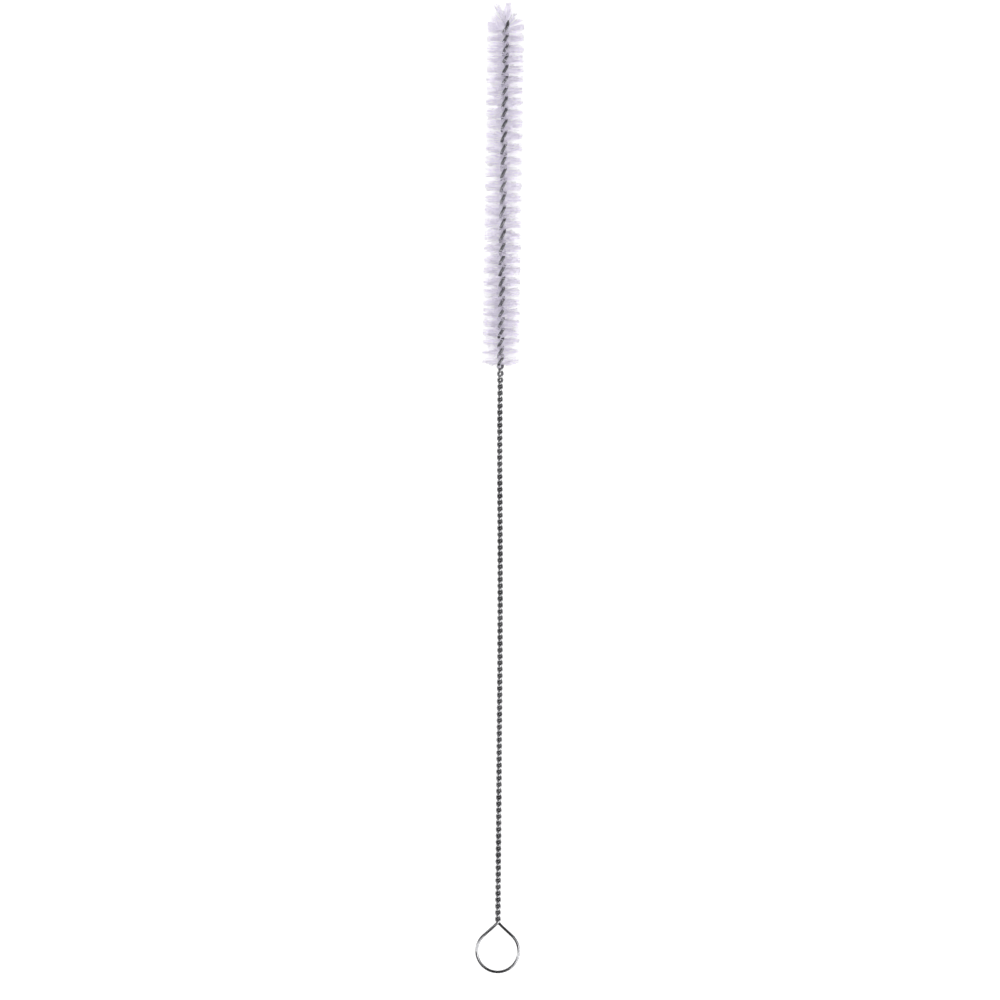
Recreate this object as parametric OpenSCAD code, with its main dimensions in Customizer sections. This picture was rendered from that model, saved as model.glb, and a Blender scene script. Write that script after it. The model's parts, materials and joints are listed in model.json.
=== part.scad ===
// Twisted-in-wire tube brush: one steel wire, bent double into a hanging loop and twisted on itself,
// that grips short nylon filaments between its two strands. Millimetres, +Z up. The brush lies on a
// level floor with its axis along Y, its loop at the -Y end and its bristles at the +Y end.
// It is drawn along its own axis, with y = 0 at the centre of the loop, and then laid down.
// It is a little bent in use, once in the middle of its stem and once below its bristles.

/* [Wire] */
// Diameter of the wire
wire_diameter = 0.9; // [0.7:0.05:1.3]
// From the far side of the loop to the cut ends of the wire
wire_length = 300; // [220:1:400]
// Play between the two strands where nothing is held between them
strand_gap = 0.06; // [0.05:0.01:0.15]
// Half turns of twist between the loop and the bristles
stem_half_turns = 86; // [60:0.1:100]
// Length over which the strands open to take the filaments
opening_length = 4.8; // [1:0.1:8]
// How far the stem is bent to the left, in degrees
stem_bend = 0.8; // [0:0.05:1.5]
// Where that bend is, as a share of the stem's length
stem_bend_at = 0.6; // [0.3:0.05:0.8]
// Length of that bend
stem_bend_length = 50; // [20:1:60]
// How far the head is bent back to the right, in degrees
head_bend = 1.25; // [0:0.05:1.5]
// Length of that bend, which ends where the bristles start
head_bend_length = 37; // [10:1:50]

/* [Hanging loop] */
// Diameter of the loop at the middle of the wire
loop_diameter = 13.2; // [9:0.1:20]
// From the loop's centre to the point where the strands cross
loop_neck = 9.1; // [7.5:0.1:16]
// Length over which a strand bends out of the twist into the loop
neck_bend = 1.2; // [0.6:0.1:2]

/* [Bristles] */
// Diameter of the bristle head
head_diameter = 11.8; // [8:0.1:20]
// Length of the tufts along the wire, from the stem to the crown
head_length = 106.8; // [60:0.1:140]
// Length along the wire of the last filaments, which form the crown
crown_length = 2.7; // [1:0.1:4]
// Half turns of twist in the head, with one tuft for each
tuft_count = 31; // [20:1:36]
// How much looser the twist is in the middle of the head, as a share
middle_slack = 0.13; // [0:0.01:0.25]
// How much tighter the twist is at the head's stem end, as a share
end_tightness = 0.05; // [0:0.01:0.15]
// Bare wire beyond the last filament
bare_tip = 1.1; // [0.5:0.1:4]

/* [Filaments] */
// Diameter of a nylon filament
filament_diameter = 0.2; // [0.15:0.01:0.3]
// Pitch of the filaments along the wire, in the tufts
filament_pitch = 0.165; // [0.12:0.005:0.18]
// Pitch of the filaments along the wire, in the crown
crown_pitch = 0.14; // [0.1:0.005:0.16]
// Play between a filament and each strand beside it
filament_play = 0.12; // [0.1:0.005:0.2]
// Play between the outer filaments of neighbouring tufts
tuft_gap = 0.03; // [0.02:0.01:0.2]
// How far a filament may turn from square to the strands, in degrees
filament_fan = 15; // [0:1:16]
// How much shorter than the head's diameter a filament may be cut
cut_scatter = 0.35; // [0:0.05:1]
// Full length of the crown's filaments, which the head's diameter trims only at the sides
crown_filament = 13.8; // [10:0.1:18]
// How far the last filaments bend up past the wire's cut ends, in degrees
crown_rise = 68; // [30:1:72]
// How unevenly they rise, as a share of the step from one to the next
crown_scatter = 0.7; // [0:0.05:0.9]
// How many filaments droop at the stem end of the head
drooping = 4; // [0:1:6]
// How far the lowest of them bends towards the stem, in degrees
root_droop = 24; // [0:1:40]

/* [Hidden] */

nylon = [0.88, 0.86, 0.92];
steel = [0.62, 0.62, 0.64];

wire_sides = 6;
corner_share = 1.07;
steps_per_stem_turn = 7;
steps_per_tuft = 4;
leg_steps = 5;
loop_steps = 24;
round_fn = 24;
bent_sides = 8;
newton_rounds = 5;
turn_seed = 8;
lift_seed = 1;
cut_seed = 200;

// A drooping filament's two ends don't bend alike: each has its share of the droop.
droop_shares = [1, 0.7];

wire_r = wire_diameter / 2;
filament_r = filament_diameter / 2;
head_r = head_diameter / 2;
loop_r = loop_diameter / 2;

// A six-sided wire stands in for the round one. Its corners lie a little outside the circle, so that
// its section is about as large, and one of its flats faces the other strand.
facet_r = wire_r * corner_share;

// Distance of each strand's middle from the brush's axis.
stem_r = wire_r + strand_gap / 2;
grip_r = wire_r + filament_r + filament_play;

// Out to here a filament is held between the strands.
held_r = grip_r + wire_r + filament_r;

// Places along the brush's axis.
loop_end_y = -loop_r - wire_r;
tip_y = loop_end_y + wire_length;
head_top_y = tip_y - bare_tip;
crown_start_y = head_top_y - crown_length;
head_start_y = crown_start_y - head_length;
cross_y = loop_neck;

// The brush rests on the far side of its loop and on the lower edge of its bristles.
function rest_tilt(a) = asin((head_r * cos(a) - wire_r) / (head_start_y + loop_r));
tilt = rest_tilt(rest_tilt(0));
crown_reach = arm_length(held_r, crown_rise, crown_filament) * sin(crown_rise);
mid_y = (loop_end_y + head_top_y + crown_reach) / 2;
floor_z = loop_r * sin(tilt) + wire_r;

function tuft_name(i) = str("bristle_tuft_", i < 10 ? "0" : "", i);

// Half turns of twist from the crossing to a place in the head, and how fast they go by.
function head_share(s) = s + middle_slack * sin(360 * s) / (2 * PI) + end_tightness * (s - s * s);
function head_rate(s) = 1 + middle_slack * cos(360 * s) + end_tightness * (1 - 2 * s);
function head_s(y) = (y - head_start_y) / head_length;
function half_turns(y) =
    y < head_start_y
    ? stem_half_turns * (y - cross_y) / (head_start_y - cross_y)
    : stem_half_turns + tuft_count * head_share(head_s(y));
// The place in the head that a share of its twist reaches, by Newton's method.
function share_s(share, s, rounds = newton_rounds) =
    rounds == 0 ? s : share_s(share, s + (share - head_share(s)) / head_rate(s), rounds - 1);
function head_y(share) = head_start_y + head_length * share_s(share, share);

// How far the two bends have carried the axis to the right. Each turns it evenly over its length.
stem_bend_y = cross_y + stem_bend_at * (head_start_y - cross_y) - stem_bend_length / 2;
head_bend_y = head_start_y - head_bend_length;
function turned(t, length) = t <= 0 ? 0 : t < length ? t * t / (2 * length) : t - length / 2;
function bow(y) =
    tan(head_bend) * turned(y - head_bend_y, head_bend_length)
    - tan(stem_bend) * turned(y - stem_bend_y, stem_bend_length);
function axis_point(y) = [bow(y), y, 0];

// Strands: azimuths are measured from +Z towards +X.
function azimuth(y) = 180 * half_turns(y);
function outward(a) = [sin(a), 0, cos(a)];
function ease(t) = t <= 0 ? 0 : t >= 1 ? 1 : t * t * (3 - 2 * t);
function strand_r(y) = stem_r + (grip_r - stem_r) * ease(1 - (head_start_y - wire_r - y) / opening_length);
function strand_point(y, side) = axis_point(y) + side * strand_r(y) * outward(azimuth(y));
function unit(v) = v / norm(v);

module wire() {
    stem_steps = ceil(stem_half_turns / 2 * steps_per_stem_turn);
    head_steps = tuft_count * steps_per_tuft;
    ys = concat(
        [for (i = [0:stem_steps - 1]) cross_y + (head_start_y - cross_y) * i / stem_steps],
        [for (i = [0:head_steps - 1]) head_y(i / head_steps)],
        [for (i = [0:steps_per_tuft]) crown_start_y + (tip_y - crown_start_y) * i / steps_per_tuft]
    );
    n = len(ys);

    // Where the loop's round part meets its straight legs.
    leg_a = acos(loop_r / loop_neck);
    slope = atan(stem_r * stem_half_turns * PI / (head_start_y - cross_y));
    leg_end = loop_r * [-sin(leg_a), cos(leg_a), 0];
    leg_start = strand_point(cross_y, 1);
    leg_curve = [
        leg_start,
        leg_start - neck_bend * [sin(slope), cos(slope), 0],
        leg_end + neck_bend * [cos(leg_a), sin(leg_a), 0],
        leg_end
    ];
    left_leg = [for (i = [1:leg_steps - 1]) bezier(leg_curve, i / leg_steps)];
    loop = [
        for (i = [0:loop_steps])
            let (a = -leg_a - (360 - 2 * leg_a) * i / loop_steps)
            loop_r * [sin(a), cos(a), 0]
    ];
    right_leg = [for (i = [leg_steps - 2:-1:0]) -left_leg[i] + [0, 2 * left_leg[i][1], 0]];

    // One path: down the first strand, round the loop and up the second strand.
    path = concat(
        [for (i = [n - 1:-1:0]) strand_point(ys[i], 1)],
        left_leg, loop, right_leg,
        [for (i = [0:n - 1]) strand_point(ys[i], -1)]
    );
    facing = concat(
        [for (i = [n - 1:-1:0]) outward(azimuth(ys[i]))],
        [for (i = [1:len(left_leg) + len(loop) + len(right_leg)]) outward(0)],
        [for (i = [0:n - 1]) outward(azimuth(ys[i]))]
    );
    inner = concat(
        [for (i = [1:n]) -1],
        [for (i = [1:len(left_leg) + len(loop) + len(right_leg)]) 0],
        [for (i = [1:n]) 1]
    );
    sweep(path, facing, inner);
}

function bezier(p, t) =
    pow(1 - t, 3) * p[0] + 3 * t * pow(1 - t, 2) * p[1] + 3 * t * t * (1 - t) * p[2] + pow(t, 3) * p[3];

// A tube along a path, with two of its flats square to the facing directions. The flat that looks
// along inner * facing has the other strand beside it and is split so that it doesn't bulge.
module sweep(path, facing, inner) {
    last = len(path) - 1;
    m = wire_sides;
    points = [
        for (i = [0:last])
            let (
                along = unit(path[min(i + 1, last)] - path[max(i - 1, 0)]),
                u = unit(facing[i] - (facing[i] * along) * along),
                w = cross(along, u)
            )
            for (j = [0:m - 1])
                let (a = 360 * (j + 0.5) / m)
                path[i] + facet_r * (cos(a) * u + sin(a) * w)
    ];
    walls = [
        for (i = [0:last - 1]) for (j = [0:m - 1])
            let (
                a = i * m + j,
                b = i * m + (j + 1) % m,
                is_inner = inner[i] * cos(360 * (j + 1) / m) > cos(180 / m)
            )
            each is_inner ? [[a, a + m, b + m], [a, b + m, b]] : [[a, a + m, b], [b, a + m, b + m]]
    ];
    ends = [[for (j = [0:m - 1]) j], [for (j = [m - 1:-1:0]) last * m + j]];
    polyhedron(points, concat(walls, ends), convexity = 20);
}

// A filament that runs straight through between the strands.
module straight_filament(y, turn, length) {
    translate(axis_point(y))
        rotate([0, azimuth(y) + 90 + turn, 0])
            cylinder(d = filament_diameter, h = length, center = true, $fn = round_fn);
}

// What is left of half a filament beyond its bend, trimmed where it would leave the head.
function arm_length(bend_r, rise, length) = min(length / 2 - bend_r, (head_r - bend_r) / cos(rise));

// A filament that leaves the strands square and then bends along the wire. Inside its bend lies a
// stretch of filaments, so it bends that much further out and stays beside them.
module bent_filament(y, turn, rise, stretch, length) {
    translate(axis_point(y))
        rotate([0, azimuth(y) + 90 + turn, 0]) {
            for (side = [0, 1]) {
                bend_r = held_r + stretch * tan(abs(rise[side]) / 2);
                rotate([0, 180 * side, 0]) {
                    translate([0, 0, -filament_r])
                        cylinder(d = filament_diameter, h = bend_r + filament_r, $fn = bent_sides);
                    translate([0, 0, bend_r - filament_r / 2])
                        rotate([-rise[side], 0, 0])
                            cylinder(
                                d = filament_diameter,
                                h = arm_length(bend_r, rise[side], length),
                                $fn = bent_sides
                            );
                }
            }
        }
}

// The filaments of one half turn. They press on each other where the strands hold them. Those that
// start the head have nothing below them and droop towards the stem, the lowest of them most.
module tuft(i) {
    from = head_y((i - 1) / tuft_count) + (filament_diameter + tuft_gap) / 2;
    to = head_y(i / tuft_count) - (filament_diameter + tuft_gap) / 2;
    count = ceil((to - from) / filament_pitch);
    turns = rands(-filament_fan, filament_fan, count + 1, i);
    cuts = rands(0, cut_scatter, count + 1, i + cut_seed);
    droops = i == 1 ? drooping : 0;
    color(nylon)
        for (k = [0:count])
            let (y = from + (to - from) * k / count, length = head_diameter - cuts[k])
            if (k < droops)
                bent_filament(y, turns[k], -root_droop * (1 - k / droops) * droop_shares, y - from, length);
            else
                straight_filament(y, turns[k], length);
}

// The crown: the last short stretch of filaments, which fan out past the cut ends of the wire. Each
// rises more than the one below it, so that they don't meet again beyond the strands.
module crown() {
    from = crown_start_y + (filament_diameter + tuft_gap) / 2;
    count = ceil((head_top_y - from) / crown_pitch);
    turns = rands(-filament_fan, filament_fan, count + 1, turn_seed);
    lifts = rands(0, crown_scatter, 2 * count + 2, lift_seed);
    color(nylon)
        for (k = [0:count])
            let (y = from + (head_top_y - from) * k / count)
            bent_filament(y, turns[k], crown_rise * [k + lifts[2 * k], k + lifts[2 * k + 1]] / (count + 1),
                head_top_y - y, crown_filament);
}

// Lays the brush on the floor, under the middle of its length.
module laid() {
    translate([0, -mid_y * cos(tilt), floor_z])
        rotate([tilt, 0, 0])
            children();
}

for (i = [1:tuft_count])
    laid() tuft(i);
laid() crown();  // bristle_crown
laid() color(steel) wire();
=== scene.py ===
"""Looks for the twisted-wire tube brush: a smooth drawn steel wire and its nylon filaments."""

import json
import math
import random

import bpy
from mathutils import Matrix, Vector


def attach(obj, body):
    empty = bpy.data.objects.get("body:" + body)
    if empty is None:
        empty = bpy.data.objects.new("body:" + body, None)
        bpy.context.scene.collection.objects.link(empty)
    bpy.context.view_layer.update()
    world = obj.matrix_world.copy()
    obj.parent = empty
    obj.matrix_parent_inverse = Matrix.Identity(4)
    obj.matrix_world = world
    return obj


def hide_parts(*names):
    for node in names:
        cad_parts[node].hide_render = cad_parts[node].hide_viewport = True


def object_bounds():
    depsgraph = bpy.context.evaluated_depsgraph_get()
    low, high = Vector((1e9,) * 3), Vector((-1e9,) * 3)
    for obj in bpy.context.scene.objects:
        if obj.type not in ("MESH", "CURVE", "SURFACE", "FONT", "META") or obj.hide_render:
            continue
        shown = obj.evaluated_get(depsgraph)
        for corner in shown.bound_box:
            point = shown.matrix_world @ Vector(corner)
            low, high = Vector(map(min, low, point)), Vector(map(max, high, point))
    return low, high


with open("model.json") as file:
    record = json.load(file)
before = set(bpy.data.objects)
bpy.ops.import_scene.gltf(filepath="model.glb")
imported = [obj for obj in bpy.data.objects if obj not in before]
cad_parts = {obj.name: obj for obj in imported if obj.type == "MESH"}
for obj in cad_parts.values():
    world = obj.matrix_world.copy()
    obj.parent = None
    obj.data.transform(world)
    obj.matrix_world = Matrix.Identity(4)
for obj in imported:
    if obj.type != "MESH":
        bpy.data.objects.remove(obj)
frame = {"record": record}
cad_lo, cad_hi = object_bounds()

MM = 0.001
SEED = 11
CROWN_SEED = 8

# ---------------------------------------------------------------- sizes, in millimetres
# The same values as in the model, along the brush's own axis, with y = 0 at the loop's centre.
WIRE_R = 0.45
WIRE_LENGTH = 300.0
STRAND_GAP = 0.06
STEM_HALF_TURNS = 86.0
OPENING_LENGTH = 4.8
STEM_BEND = math.radians(0.8)
STEM_BEND_AT = 0.6
STEM_BEND_LENGTH = 50.0
HEAD_BEND = math.radians(1.25)
HEAD_BEND_LENGTH = 37.0
LOOP_R = 6.6
LOOP_NECK = 9.1
NECK_BEND = 1.2
HEAD_R = 5.9
HEAD_LENGTH = 106.8
CROWN_LENGTH = 2.7
TUFT_COUNT = 31
MIDDLE_SLACK = 0.13
END_TIGHTNESS = 0.05
BARE_TIP = 1.1
MODEL_FILAMENT_R = 0.1
FILAMENT_PLAY = 0.12

STEM_R = WIRE_R + STRAND_GAP / 2
GRIP_R = WIRE_R + MODEL_FILAMENT_R + FILAMENT_PLAY
LOOP_END_Y = -LOOP_R - WIRE_R
TIP_Y = LOOP_END_Y + WIRE_LENGTH
HEAD_TOP_Y = TIP_Y - BARE_TIP
CROWN_START_Y = HEAD_TOP_Y - CROWN_LENGTH
HEAD_START_Y = CROWN_START_Y - HEAD_LENGTH
CROSS_Y = LOOP_NECK
STEM_BEND_Y = CROSS_Y + STEM_BEND_AT * (HEAD_START_Y - CROSS_Y) - STEM_BEND_LENGTH / 2
HEAD_BEND_Y = HEAD_START_Y - HEAD_BEND_LENGTH

# ---------------------------------------------------------------- looks of the wire, in millimetres
WIRE_SIDES = 16
STEPS_PER_TURN = 22
LOOP_STEPS = 96
LEG_STEPS = 12
CUT_BEVEL = 0.06
NEWTON_ROUNDS = 6
# Painted shade darkens the wire's colour over this much of the head, where the filaments stand round it.
PAINTED_SHADE_RISE = 6
PAINTED_SHADE_IN_HEAD = 0.65

# ---------------------------------------------------------------- looks of the filaments, in millimetres
FILAMENT_R = 0.05
FILAMENT_SIDES = 5
HALF_STEPS = 5
FILAMENTS_PER_TUFT = 124
# Half a filament is a little longer than the head's radius, which trims it.
HALF_LENGTH = HEAD_R / 0.96
CUT_SCATTER = 0.16
# The first tufts at the stem are thin, and their filaments are wavy and stay nearer to the row.
THIN_TUFTS = {1: 0.4, 2: 0.5, 3: 0.7, 4: 0.85}
THIN_SPREAD = 0.3
FIRST_FILAMENT_Y = HEAD_START_Y + 1.2
# So many neighbours cling together, over this much of the wire.
CLUMP = 2
THIN_CLUMP = 3
CLUMP_WIDTH = 0.15
# A filament may turn in the wire's grip, and beyond it bends back to its clump, between these
# distances from the axis.
GRIP_TURN = math.radians(12)
BEND_START = 0.35
BEND_END = 1.9
# These shares of the filaments' left and right halves are splayed round the wire. The others
# stay in a nearly flat row.
SPLAYED_LEFT = 0.62
SPLAYED_RIGHT = 0.42
SPLAYED_FAN = math.radians(58)
ROW_FAN = math.radians(11)
LEAN = math.radians(4)
# How far a filament strays from its clump, as a share of the spread between clumps.
STRAY = 0.6
# How strongly a filament waves, and how much more it does in a thin tuft.
WAVE = 0.06
THIN_WAVE = 0.5

# ---------------------------------------------------------------- looks of the crown, in millimetres
CROWN_FILAMENTS = 220
CROWN_CLUMP = 4
CROWN_HALF = 7.2
# From the crown's first filament to its last they get sparser, narrower and longer, and rise more.
CROWN_SPARSER = 1.3
CROWN_NARROWER = 0.7
CROWN_LONGER = 0.13
CROWN_RISING = 0.85
CROWN_CUT = (0.82, 0.96)
# The last ones rise in two bundles, of which the right one stands the straighter.
CROWN_RISE_LEFT = math.radians(66)
CROWN_RISE_RIGHT = math.radians(88)
RISE_SCATTER = (0.75, 1.12)

# ---------------------------------------------------------------- looks of the materials
# A texture's darker place and lighter place, each with its colour.
STEEL_DARK = (0.35, (0.20, 0.20, 0.21))
STEEL_LIGHT = (0.62, (0.42, 0.42, 0.43))
NYLON_DARK = (0.3, (0.90, 0.86, 0.98))
NYLON_LIGHT = (0.7, (0.96, 0.925, 1.0))
STEEL_RIM = (0.05, 0.05, 0.05, 1)
STEEL_ROUGHNESS = (0.15, 0.24)
NYLON_ROUGHNESS = 0.38
NYLON_IOR = 1.5
FLOOR_COLOR = (0.6, 0.6, 0.6, 1)
FLOOR_ROUGHNESS = 0.9
# The drawn streaks are long and thin, by their scale along the wire and round it.
STREAK_SCALE = (0.8, 9.0, 1.0)
FILM_SCALE = 260.0
GRAIN_SCALE = 900.0

# ---------------------------------------------------------------- photograph's framing
IMAGE = 1000
# Where the photograph shows the loop's centre and the wire's tip.
LOOP_PIXEL = (497.5, 951.0)
TIP_PIXEL = (505.8, 16.5)
# The camera's height in metres, and its sensor's width in millimetres.
CAMERA_HEIGHT = 1.5
SENSOR = 36.0

# ---------------------------------------------------------------- floor, in metres
FLOOR_SIZE = 12.0
# The glow of the floor goes from the first to the second value between these distances.
FLOOR_SPAN = (0.2, 1.5)
FLOOR_LIFT = (0.63, 0.95)

# ---------------------------------------------------------------- room and lamps, in metres
# The white walls end and the dim ceiling begins where the sine of the height above the horizon
# has these values. Each has its colour.
WALLS = (0.06, (1, 1, 1))
CEILING = (0.16, (0.06, 0.06, 0.06))
CARD_DISTANCE = 1.1
CARD_HEIGHT = 0.86
# The card on the right stands this far along the brush from the loop, and so beyond its end.
CARD_SHIFT = -0.45
RIGHT_CARD_SIZE = (1.5, 2.4)
LEFT_CARD_SIZE = (0.5, 1.5)
CARD_STRENGTH = 3.0
CEILING_HEIGHT = 2.4
CEILING_SIZE = (3.0, 3.0)
CEILING_STRENGTH = 3.05
FILL_DISTANCE = 1.6
FILL_HEIGHT = 0.9
FILL_SIZE = (1.2, 2.2)
FILL_STRENGTH = 0.7

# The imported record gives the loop's centre and the direction it faces, so the brush's own axes
# are laid where the model's are.
loop_mount = frame["record"]["mounts"][0]
loop_centre = Vector(loop_mount["pos_m"])
facing = Vector(loop_mount["axis"])
tilt = math.atan2(-facing.y, facing.z)
LAID = Matrix.Translation(loop_centre) @ Matrix.Rotation(tilt, 4, "X") @ Matrix.Scale(MM, 4)


# ---------------------------------------------------------------- the wire's path
def head_share(s):
    """The share of the head's half turns that lie in the first share s of its length."""
    return s + MIDDLE_SLACK * math.sin(math.tau * s) / math.tau + END_TIGHTNESS * (s - s * s)


def head_rate(s):
    """How fast head_share grows at s."""
    return 1 + MIDDLE_SLACK * math.cos(math.tau * s) + END_TIGHTNESS * (1 - 2 * s)


def half_turns(y):
    """The half turns of twist between the neck's crossing and y."""
    if y < HEAD_START_Y:
        return STEM_HALF_TURNS * (y - CROSS_Y) / (HEAD_START_Y - CROSS_Y)
    return STEM_HALF_TURNS + TUFT_COUNT * head_share((y - HEAD_START_Y) / HEAD_LENGTH)


def head_y(share):
    """The y at which a share of the head's half turns is reached, by Newton's method."""
    s = share
    for _ in range(NEWTON_ROUNDS):
        s += (share - head_share(s)) / head_rate(s)
    return HEAD_START_Y + HEAD_LENGTH * s


def azimuth(y):
    """The angle by which the strands are twisted at y."""
    return math.pi * half_turns(y)


def outward(a):
    """The direction out from the axis at an angle, which is upwards at 0 and to +X at a quarter turn."""
    return Vector((math.sin(a), 0, math.cos(a)))


def ease(t):
    """Goes smoothly from 0 to 1."""
    t = min(max(t, 0), 1)
    return t * t * (3 - 2 * t)


def turned(t, length):
    """How far a bend, which begins at t = 0, has moved the axis aside, for a final slope of 1."""
    if t <= 0:
        return 0
    return t * t / (2 * length) if t < length else t - length / 2


def axis_point(y):
    """The brush's axis at y, with its two slight bends."""
    bow = math.tan(HEAD_BEND) * turned(y - HEAD_BEND_Y, HEAD_BEND_LENGTH)
    bow -= math.tan(STEM_BEND) * turned(y - STEM_BEND_Y, STEM_BEND_LENGTH)
    return Vector((bow, y, 0))


def strand_r(y):
    """The distance of the strands from the axis, which opens ahead of the head."""
    return STEM_R + (GRIP_R - STEM_R) * ease(1 - (HEAD_START_Y - WIRE_R - y) / OPENING_LENGTH)


def strand_point(y, side):
    """The middle of the strand on side 1 or -1, at y."""
    return axis_point(y) + side * strand_r(y) * outward(azimuth(y))


def bezier(p, t):
    """A point on the curve of four control points."""
    u = 1 - t
    return u**3 * p[0] + 3 * t * u * u * p[1] + 3 * t * t * u * p[2] + t**3 * p[3]


def wire_path():
    """Down one strand from its cut end, round the loop and up the other strand."""
    y, ys = CROSS_Y, []
    probe = 0.05
    while y < TIP_Y:
        ys.append(y)
        pace = (half_turns(y + probe) - half_turns(y)) / probe
        y += 2 / (pace * STEPS_PER_TURN)
    ys.append(TIP_Y)
    leg_a = math.acos(LOOP_R / LOOP_NECK)
    slope = math.atan(STEM_R * STEM_HALF_TURNS * math.pi / (HEAD_START_Y - CROSS_Y))
    leg_end = LOOP_R * Vector((-math.sin(leg_a), math.cos(leg_a), 0))
    start = strand_point(CROSS_Y, 1)
    leg = [
        start,
        start - NECK_BEND * Vector((math.sin(slope), math.cos(slope), 0)),
        leg_end + NECK_BEND * Vector((math.cos(leg_a), math.sin(leg_a), 0)),
        leg_end,
    ]
    left = [bezier(leg, i / LEG_STEPS) for i in range(1, LEG_STEPS)]
    loop = []
    for i in range(LOOP_STEPS + 1):
        a = -leg_a - (math.tau - 2 * leg_a) * i / LOOP_STEPS
        loop.append(LOOP_R * Vector((math.sin(a), math.cos(a), 0)))
    right = [Vector((-p.x, p.y, -p.z)) for p in reversed(left)]
    down = [strand_point(y, 1) for y in reversed(ys)]
    up = [strand_point(y, -1) for y in ys]
    return down + left + loop + right + up


# ---------------------------------------------------------------- mesh helpers
def add_tube(verts, faces, path, radii, sides):
    """Adds a closed tube along a path, with its ends capped, to lists of vertices and faces."""
    first = len(verts)
    along = (path[1] - path[0]).normalized()
    side = along.orthogonal().normalized()
    for i, point in enumerate(path):
        ahead = path[min(i + 1, len(path) - 1)] - path[max(i - 1, 0)]
        along = ahead.normalized()
        side = (side - side.dot(along) * along).normalized()
        other = along.cross(side)
        for j in range(sides):
            a = math.tau * j / sides
            verts.append(point + radii[i] * (math.cos(a) * side + math.sin(a) * other))
    for i in range(len(path) - 1):
        for j in range(sides):
            a = first + i * sides + j
            b = first + i * sides + (j + 1) % sides
            faces.append((a, b, b + sides, a + sides))
    last = first + (len(path) - 1) * sides
    faces.append(tuple(first + j for j in reversed(range(sides))))
    faces.append(tuple(last + j for j in range(sides)))


def add_piece(name, verts, faces, material, nodes):
    """Makes a mesh object of a piece, laid where the model lies and kept in the model's box."""
    laid = []
    for v in verts:
        p = LAID @ v
        laid.append([min(max(p[k], cad_lo[k]), cad_hi[k]) for k in range(3)])
    mesh = bpy.data.meshes.new(name)
    mesh.from_pydata(laid, [], faces)
    mesh.materials.append(material)
    for face in mesh.polygons:
        face.use_smooth = len(face.vertices) == 4
    mesh.update()
    piece = bpy.data.objects.new(name, mesh)
    bpy.context.scene.collection.objects.link(piece)
    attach(piece, "root")
    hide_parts(*nodes)
    return piece


# ---------------------------------------------------------------- materials
def new_material(name):
    """A material, its node tree and its main shader."""
    material = bpy.data.materials.new(name)
    material.use_nodes = True
    tree = material.node_tree
    return material, tree, tree.nodes["Principled BSDF"]


def add_ramp(tree, source, low, high):
    """A colour for a value, between a low and a high pair of a place and a colour."""
    ramp = tree.nodes.new("ShaderNodeValToRGB")
    for element, (position, color) in zip(ramp.color_ramp.elements, (low, high)):
        element.position = position
        element.color = (*color, 1)
    tree.links.new(source, ramp.inputs["Fac"])
    return ramp.outputs["Color"]


def add_range(tree, source, span, values):
    """Carries a value from one range to another."""
    node = tree.nodes.new("ShaderNodeMapRange")
    node.inputs["From Min"].default_value, node.inputs["From Max"].default_value = span
    node.inputs["To Min"].default_value, node.inputs["To Max"].default_value = values
    tree.links.new(source, node.inputs["Value"])
    return node.outputs["Result"]


def add_bump(tree, source, shader, strength, distance):
    """Gives a shader's surface the relief of a texture."""
    bump = tree.nodes.new("ShaderNodeBump")
    bump.inputs["Strength"].default_value = strength
    bump.inputs["Distance"].default_value = distance
    tree.links.new(source, bump.inputs["Height"])
    tree.links.new(bump.outputs["Normal"], shader.inputs["Normal"])


def add_noise(tree, place, scale, detail):
    """A texture of soft noise."""
    noise = tree.nodes.new("ShaderNodeTexNoise")
    noise.inputs["Scale"].default_value = scale
    noise.inputs["Detail"].default_value = detail
    tree.links.new(place, noise.inputs["Vector"])
    return noise.outputs["Fac"]


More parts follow.
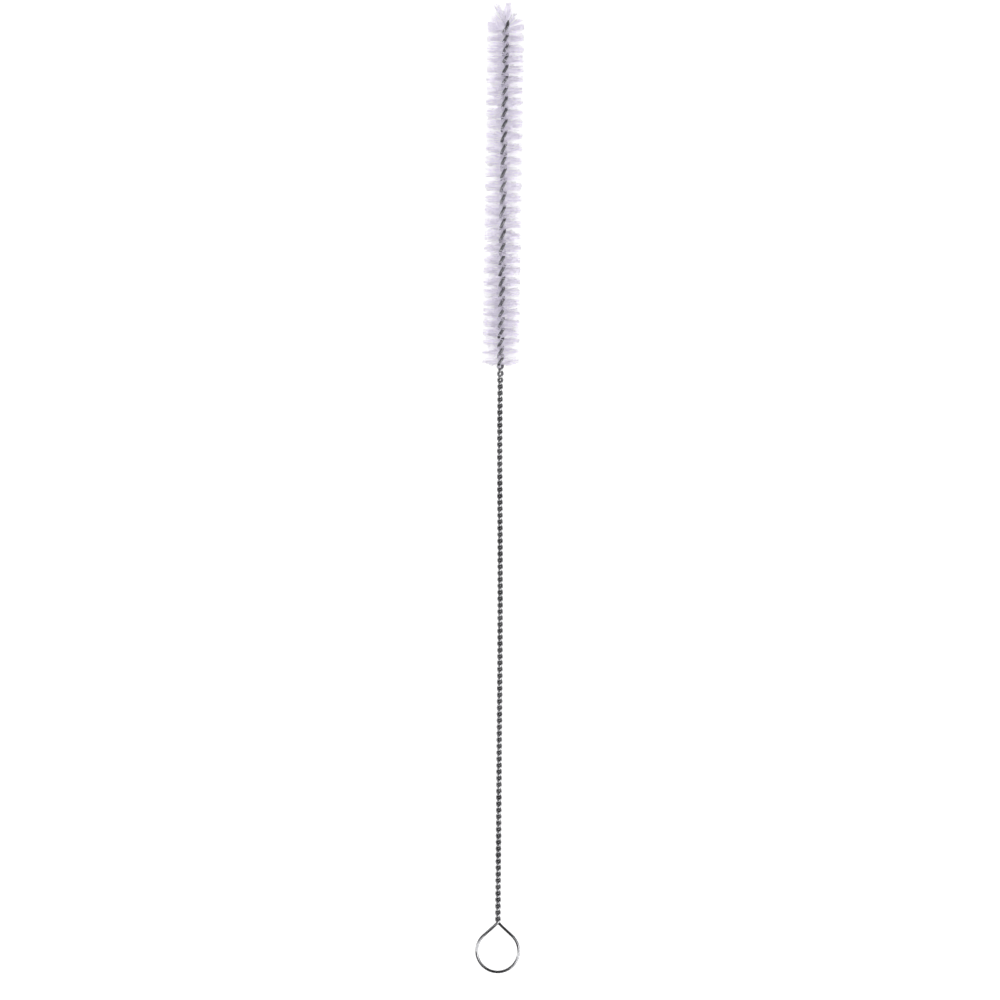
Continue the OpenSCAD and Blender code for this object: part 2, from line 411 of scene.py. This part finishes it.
def steel_material():
    """Bright drawn wire: fine streaks along it and a faint film, and painted shade that darkens its
    colour in the head.
    """
    material, tree, shader = new_material("drawn_steel")
    nodes, links = tree.nodes, tree.links
    shader.inputs["Metallic"].default_value = 1.0
    shader.inputs["Specular Tint"].default_value = STEEL_RIM
    shader.inputs["Anisotropic"].default_value = 0.85
    shader.inputs["Anisotropic Rotation"].default_value = 0.25
    drawn = nodes.new("ShaderNodeTangent")
    drawn.direction_type = "UV_MAP"
    drawn.uv_map = "along_wire"
    links.new(drawn.outputs["Tangent"], shader.inputs["Tangent"])
    place = nodes.new("ShaderNodeUVMap")
    place.uv_map = "along_wire"
    stretch = nodes.new("ShaderNodeMapping")
    stretch.inputs["Scale"].default_value = STREAK_SCALE
    links.new(place.outputs["UV"], stretch.inputs["Vector"])
    streaks = add_noise(tree, stretch.outputs["Vector"], scale=1.0, detail=3.0)
    body = nodes.new("ShaderNodeTexCoord")
    film = add_noise(tree, body.outputs["Object"], FILM_SCALE, detail=4.0)
    mix = nodes.new("ShaderNodeMix")
    mix.inputs["Factor"].default_value = 0.5
    links.new(streaks, mix.inputs["A"])
    links.new(film, mix.inputs["B"])
    worn = mix.outputs["Result"]
    tone = add_ramp(tree, worn, STEEL_DARK, STEEL_LIGHT)
    along = nodes.new("ShaderNodeSeparateXYZ")
    links.new(body.outputs["Object"], along.inputs["Vector"])
    # Painted shade: the wire's colour is scaled down in the head, where the filaments stand round it.
    rise = [(LAID @ Vector((0, y, 0))).y for y in (HEAD_START_Y, HEAD_START_Y + PAINTED_SHADE_RISE)]
    shade = nodes.new("ShaderNodeVectorMath")
    shade.operation = "SCALE"
    links.new(tone, shade.inputs[0])
    painted_shade = add_range(tree, along.outputs["Y"], rise, (1.0, PAINTED_SHADE_IN_HEAD))
    links.new(painted_shade, shade.inputs["Scale"])
    links.new(shade.outputs["Vector"], shader.inputs["Base Color"])
    links.new(add_range(tree, worn, (0, 1), STEEL_ROUGHNESS), shader.inputs["Roughness"])
    add_bump(tree, streaks, shader, strength=0.35, distance=0.00001)
    return material


def nylon_material():
    """Pale lavender nylon, whose tone varies a little along and between the filaments."""
    material, tree, shader = new_material("lavender_nylon")
    shader.inputs["Roughness"].default_value = NYLON_ROUGHNESS
    shader.inputs["IOR"].default_value = NYLON_IOR
    body = tree.nodes.new("ShaderNodeTexCoord")
    grain = add_noise(tree, body.outputs["Object"], GRAIN_SCALE, detail=2.0)
    tone = add_ramp(tree, grain, NYLON_DARK, NYLON_LIGHT)
    tree.links.new(tone, shader.inputs["Base Color"])
    add_bump(tree, grain, shader, strength=0.15, distance=0.000004)
    return material


steel = steel_material()
nylon = nylon_material()


# ---------------------------------------------------------------- the wire
def make_wire():
    """The whole wire, with bevelled cut ends and a map that runs along and round it."""
    path = wire_path()
    start = (path[1] - path[0]).normalized()
    end = (path[-1] - path[-2]).normalized()
    path.insert(1, path[0] + CUT_BEVEL * start)
    path.insert(-1, path[-1] - CUT_BEVEL * end)
    radii = [WIRE_R] * len(path)
    radii[0] = radii[-1] = WIRE_R - CUT_BEVEL
    verts, faces = [], []
    add_tube(verts, faces, path, radii, WIRE_SIDES)
    piece = add_piece("twisted_wire", verts, faces, steel, ["wire"])
    uv = piece.data.uv_layers.new(name="along_wire")
    runs = [0]
    for a, b in zip(path, path[1:]):
        runs.append(runs[-1] + (b - a).length)
    for face in piece.data.polygons:
        ring = [v // WIRE_SIDES for v in face.vertices]
        spoke = [v % WIRE_SIDES for v in face.vertices]
        wraps = max(spoke) - min(spoke) > WIRE_SIDES / 2
        for k, loop in enumerate(face.loop_indices):
            around = spoke[k] + (WIRE_SIDES if wraps and spoke[k] == 0 else 0)
            uv.data[loop].uv = (runs[ring[k]], around / WIRE_SIDES)


# ---------------------------------------------------------------- filaments
def arm(y, direction, bend, rise, lean, wave, length, bend_end):
    """The points of one half of a filament, from the axis outwards.

    It is held square between the strands up to about their outside, then bends round the wire and
    along it. A wave is a strength, a number of half waves and a phase.
    """
    strength, count, phase = wave
    points = [axis_point(y)]
    run = length / HALF_STEPS
    for i in range(1, HALF_STEPS + 1):
        s = (i - 0.5) * run
        share = ease((s - BEND_START) / (bend_end - BEND_START))
        a = direction + bend * share
        up = rise * share + lean + strength * share * math.sin(math.pi * count * s / length + phase)
        step = math.cos(up) * outward(a) + math.sin(up) * Vector((0, 1, 0))
        points.append(points[-1] + run * step)
    return points


def trimmed(points):
    """Cuts a filament's half where it leaves the head's cylinder."""
    kept = [points[0]]
    for a, b in zip(points, points[1:]):
        ra = math.hypot(a.x - axis_point(a.y).x, a.z)
        rb = math.hypot(b.x - axis_point(b.y).x, b.z)
        if rb <= HEAD_R:
            kept.append(b)
            continue
        kept.append(a.lerp(b, (HEAD_R - ra) / (rb - ra)))
        break
    return kept


def sides(y, left, right):
    """A left and a right value, in the order of the two halves of a filament held at y."""
    return [right, left] if math.cos(azimuth(y)) > 0 else [left, right]


def clump(draw, y, waviness, spread):
    """How the two halves of a few neighbouring filaments, which cling together, bend and lean."""
    habit = []
    for chance in sides(y, SPLAYED_LEFT, SPLAYED_RIGHT):
        if draw.random() < chance:
            bend = spread * draw.uniform(-SPLAYED_FAN, SPLAYED_FAN)
        else:
            bend = spread * draw.gauss(0, ROW_FAN)
        wave = (draw.gauss(0, waviness), draw.uniform(1, 4), draw.uniform(0, math.tau))
        habit.append((bend, draw.gauss(0, LEAN), wave))
    return habit


def filament(verts, faces, draw, y, rises, habit, length, bend_end=BEND_END):
    """Adds a filament that is held at y and follows its clump's habit, to a mesh."""
    turn = draw.uniform(-GRIP_TURN, GRIP_TURN)
    direction = azimuth(y) + math.pi / 2 + turn
    halves = []
    for k, rise in enumerate(rises):
        bend, lean, wave = habit[k]
        bend += draw.gauss(0, ROW_FAN * STRAY) - turn
        lean += draw.gauss(0, LEAN * STRAY)
        reach = length - draw.uniform(0, CUT_SCATTER)
        half = arm(y, direction + math.pi * k, bend, rise, lean, wave, reach, bend_end)
        halves.append(trimmed(half))
    path = halves[0][:0:-1] + halves[1]
    add_tube(verts, faces, path, [FILAMENT_R] * len(path), FILAMENT_SIDES)


def make_tuft(i):
    """The filaments that one half turn of the wire grips."""
    draw = random.Random(SEED * 1000 + i)
    verts, faces = [], []
    lo, hi = head_y((i - 1) / TUFT_COUNT), head_y(i / TUFT_COUNT)
    lo = max(lo, FIRST_FILAMENT_Y)
    fullness = THIN_TUFTS.get(i, 1)
    count = round(FILAMENTS_PER_TUFT * fullness)
    waviness = WAVE + THIN_WAVE * (1 - fullness)
    size = CLUMP if fullness == 1 else THIN_CLUMP
    for k in range(count):
        if k % size == 0:
            root = lo + (hi - lo) * (k + size * draw.random()) / count
            habit = clump(draw, root, waviness, THIN_SPREAD + (1 - THIN_SPREAD) * fullness)
        y = root + draw.uniform(0, CLUMP_WIDTH)
        filament(verts, faces, draw, y, [0, 0], habit, HALF_LENGTH)
    name = f"tuft_{i:02d}_filaments"
    add_piece(name, verts, faces, nylon, [f"bristle_tuft_{i:02d}"])


def make_crown():
    """The last filaments, which fan out past the wire's cut ends."""
    draw = random.Random(CROWN_SEED)
    verts, faces = [], []
    for k in range(CROWN_FILAMENTS):
        share = ((k + draw.random()) / CROWN_FILAMENTS) ** CROWN_SPARSER
        y = CROWN_START_Y + CROWN_LENGTH * share
        if k % CROWN_CLUMP == 0:
            habit = clump(draw, y, WAVE, 1 - CROWN_NARROWER * share)
            lifts = sides(y, CROWN_RISE_LEFT, CROWN_RISE_RIGHT)
            lifts = [lift * draw.uniform(*RISE_SCATTER) for lift in lifts]
            reach = draw.uniform(*CROWN_CUT) + CROWN_LONGER * share**2
        rises = [lift * share**CROWN_RISING for lift in lifts]
        filament(verts, faces, draw, y, rises, habit, CROWN_HALF * reach, BEND_END - share)
    add_piece("crown_filaments", verts, faces, nylon, ["bristle_crown"])


make_wire()
for i in range(1, TUFT_COUNT + 1):
    make_tuft(i)
make_crown()


# ---------------------------------------------------------------- floor, lights and camera
def seen_rays(nodes, links):
    """Is 1 for the rays that see the background: the camera's, and those of metal and glass."""
    rays = nodes.new("ShaderNodeLightPath")
    seen = None
    for ray in ("Is Camera Ray", "Is Glossy Ray", "Is Transmission Ray"):
        if seen is None:
            seen = rays.outputs[ray]
            continue
        add = nodes.new("ShaderNodeMath")
        add.operation = "MAXIMUM"
        links.new(seen, add.inputs[0])
        links.new(rays.outputs[ray], add.inputs[1])
        seen = add.outputs[0]
    return seen


def make_floor():
    """A white floor that keeps the brush's faint shadow and brightens away from it."""
    mesh = bpy.data.meshes.new("floor")
    signs = [(-1, -1), (1, -1), (1, 1), (-1, 1)]
    corners = [(FLOOR_SIZE * x, FLOOR_SIZE * y, 0) for x, y in signs]
    mesh.from_pydata(corners, [], [(0, 1, 2, 3)])
    floor = bpy.data.objects.new("floor", mesh)
    bpy.context.scene.collection.objects.link(floor)
    material, tree, shader = new_material("floor_white")
    shader.inputs["Base Color"].default_value = FLOOR_COLOR
    shader.inputs["Roughness"].default_value = FLOOR_ROUGHNESS
    shader.inputs["Specular IOR Level"].default_value = 0.0
    shader.inputs["Emission Color"].default_value = (1, 1, 1, 1)
    seen = seen_rays(tree.nodes, tree.links)
    place = tree.nodes.new("ShaderNodeTexCoord")
    distance = tree.nodes.new("ShaderNodeVectorMath")
    distance.operation = "LENGTH"
    tree.links.new(place.outputs["Object"], distance.inputs[0])
    lift = tree.nodes.new("ShaderNodeMath")
    lift.operation = "MULTIPLY"
    glow = add_range(tree, distance.outputs["Value"], FLOOR_SPAN, FLOOR_LIFT)
    tree.links.new(seen, lift.inputs[0])
    tree.links.new(glow, lift.inputs[1])
    tree.links.new(lift.outputs[0], shader.inputs["Emission Strength"])
    mesh.materials.append(material)


def make_world():
    """A white room up to a little above the horizon, with a dim ceiling."""
    world = bpy.data.worlds.new("studio")
    bpy.context.scene.world = world
    world.use_nodes = True
    tree = world.node_tree
    place = tree.nodes.new("ShaderNodeTexCoord")
    split = tree.nodes.new("ShaderNodeSeparateXYZ")
    tree.links.new(place.outputs["Generated"], split.inputs["Vector"])
    tone = add_ramp(tree, split.outputs["Z"], WALLS, CEILING)
    tree.links.new(tone, tree.nodes["Background"].inputs["Color"])


def add_lamp(name, place, target, size, strength, card=False):
    """A soft box that faces a target. A card gives only gleams, and the others only diffuse light."""
    lamp = bpy.data.lights.new(name, "AREA")
    lamp.shape = "RECTANGLE"
    lamp.size, lamp.size_y = size
    lamp.energy = strength * math.pi * size[0] * size[1]
    obj = bpy.data.objects.new(name, lamp)
    bpy.context.scene.collection.objects.link(obj)
    obj.location = place
    obj.rotation_euler = (Vector(target) - Vector(place)).to_track_quat("-Z", "Y").to_euler()
    obj.visible_camera = False
    obj.visible_glossy = card
    obj.visible_diffuse = not card


def make_camera():
    """Looks straight down on the brush, where the photograph looks at it from the front."""
    loop = LAID @ Vector((0, 0, 0))
    tip = LAID @ axis_point(TIP_Y)
    centre = IMAGE / 2
    below = (LOOP_PIXEL[1] - centre) * (CAMERA_HEIGHT - loop.z)
    above = (centre - TIP_PIXEL[1]) * (CAMERA_HEIGHT - tip.z)
    y = (loop.y * above + tip.y * below) / (above + below)
    focal = below / (y - loop.y)
    lean = math.atan2(TIP_PIXEL[0] - LOOP_PIXEL[0], LOOP_PIXEL[1] - TIP_PIXEL[1])
    lean -= math.atan2(tip.x - loop.x, tip.y - loop.y)
    shift_px = (LOOP_PIXEL[0] + TIP_PIXEL[0]) / 2 - centre
    camera = bpy.data.objects.new("camera", bpy.data.cameras.new("camera"))
    camera.data.sensor_width = SENSOR
    camera.data.lens = SENSOR * focal / IMAGE
    x = (loop.x + tip.x) / 2 - shift_px * CAMERA_HEIGHT / focal
    camera.location = (x, y, CAMERA_HEIGHT)
    camera.rotation_euler = (0, 0, lean)
    bpy.context.scene.collection.objects.link(camera)
    bpy.context.scene.camera = camera


make_floor()
make_world()
loop_y = loop_centre.y
near_y = loop_y + CARD_SHIFT
middle = (0, 0, 0)
right_card = (CARD_DISTANCE, near_y, CARD_HEIGHT)
left_card = (-CARD_DISTANCE, loop_y, CARD_HEIGHT)
add_lamp("card_right", right_card, (0, near_y, 0), RIGHT_CARD_SIZE, CARD_STRENGTH, card=True)
add_lamp("card_left", left_card, (0, loop_y, 0), LEFT_CARD_SIZE, CARD_STRENGTH, card=True)
add_lamp("ceiling", (0, 0, CEILING_HEIGHT), middle, CEILING_SIZE, CEILING_STRENGTH)
add_lamp("fill_left", (-FILL_DISTANCE, 0, FILL_HEIGHT), middle, FILL_SIZE, FILL_STRENGTH)
add_lamp("fill_right", (FILL_DISTANCE, 0, FILL_HEIGHT), middle, FILL_SIZE, FILL_STRENGTH)
make_camera()

bpy.context.scene.view_settings.view_transform = "Standard"
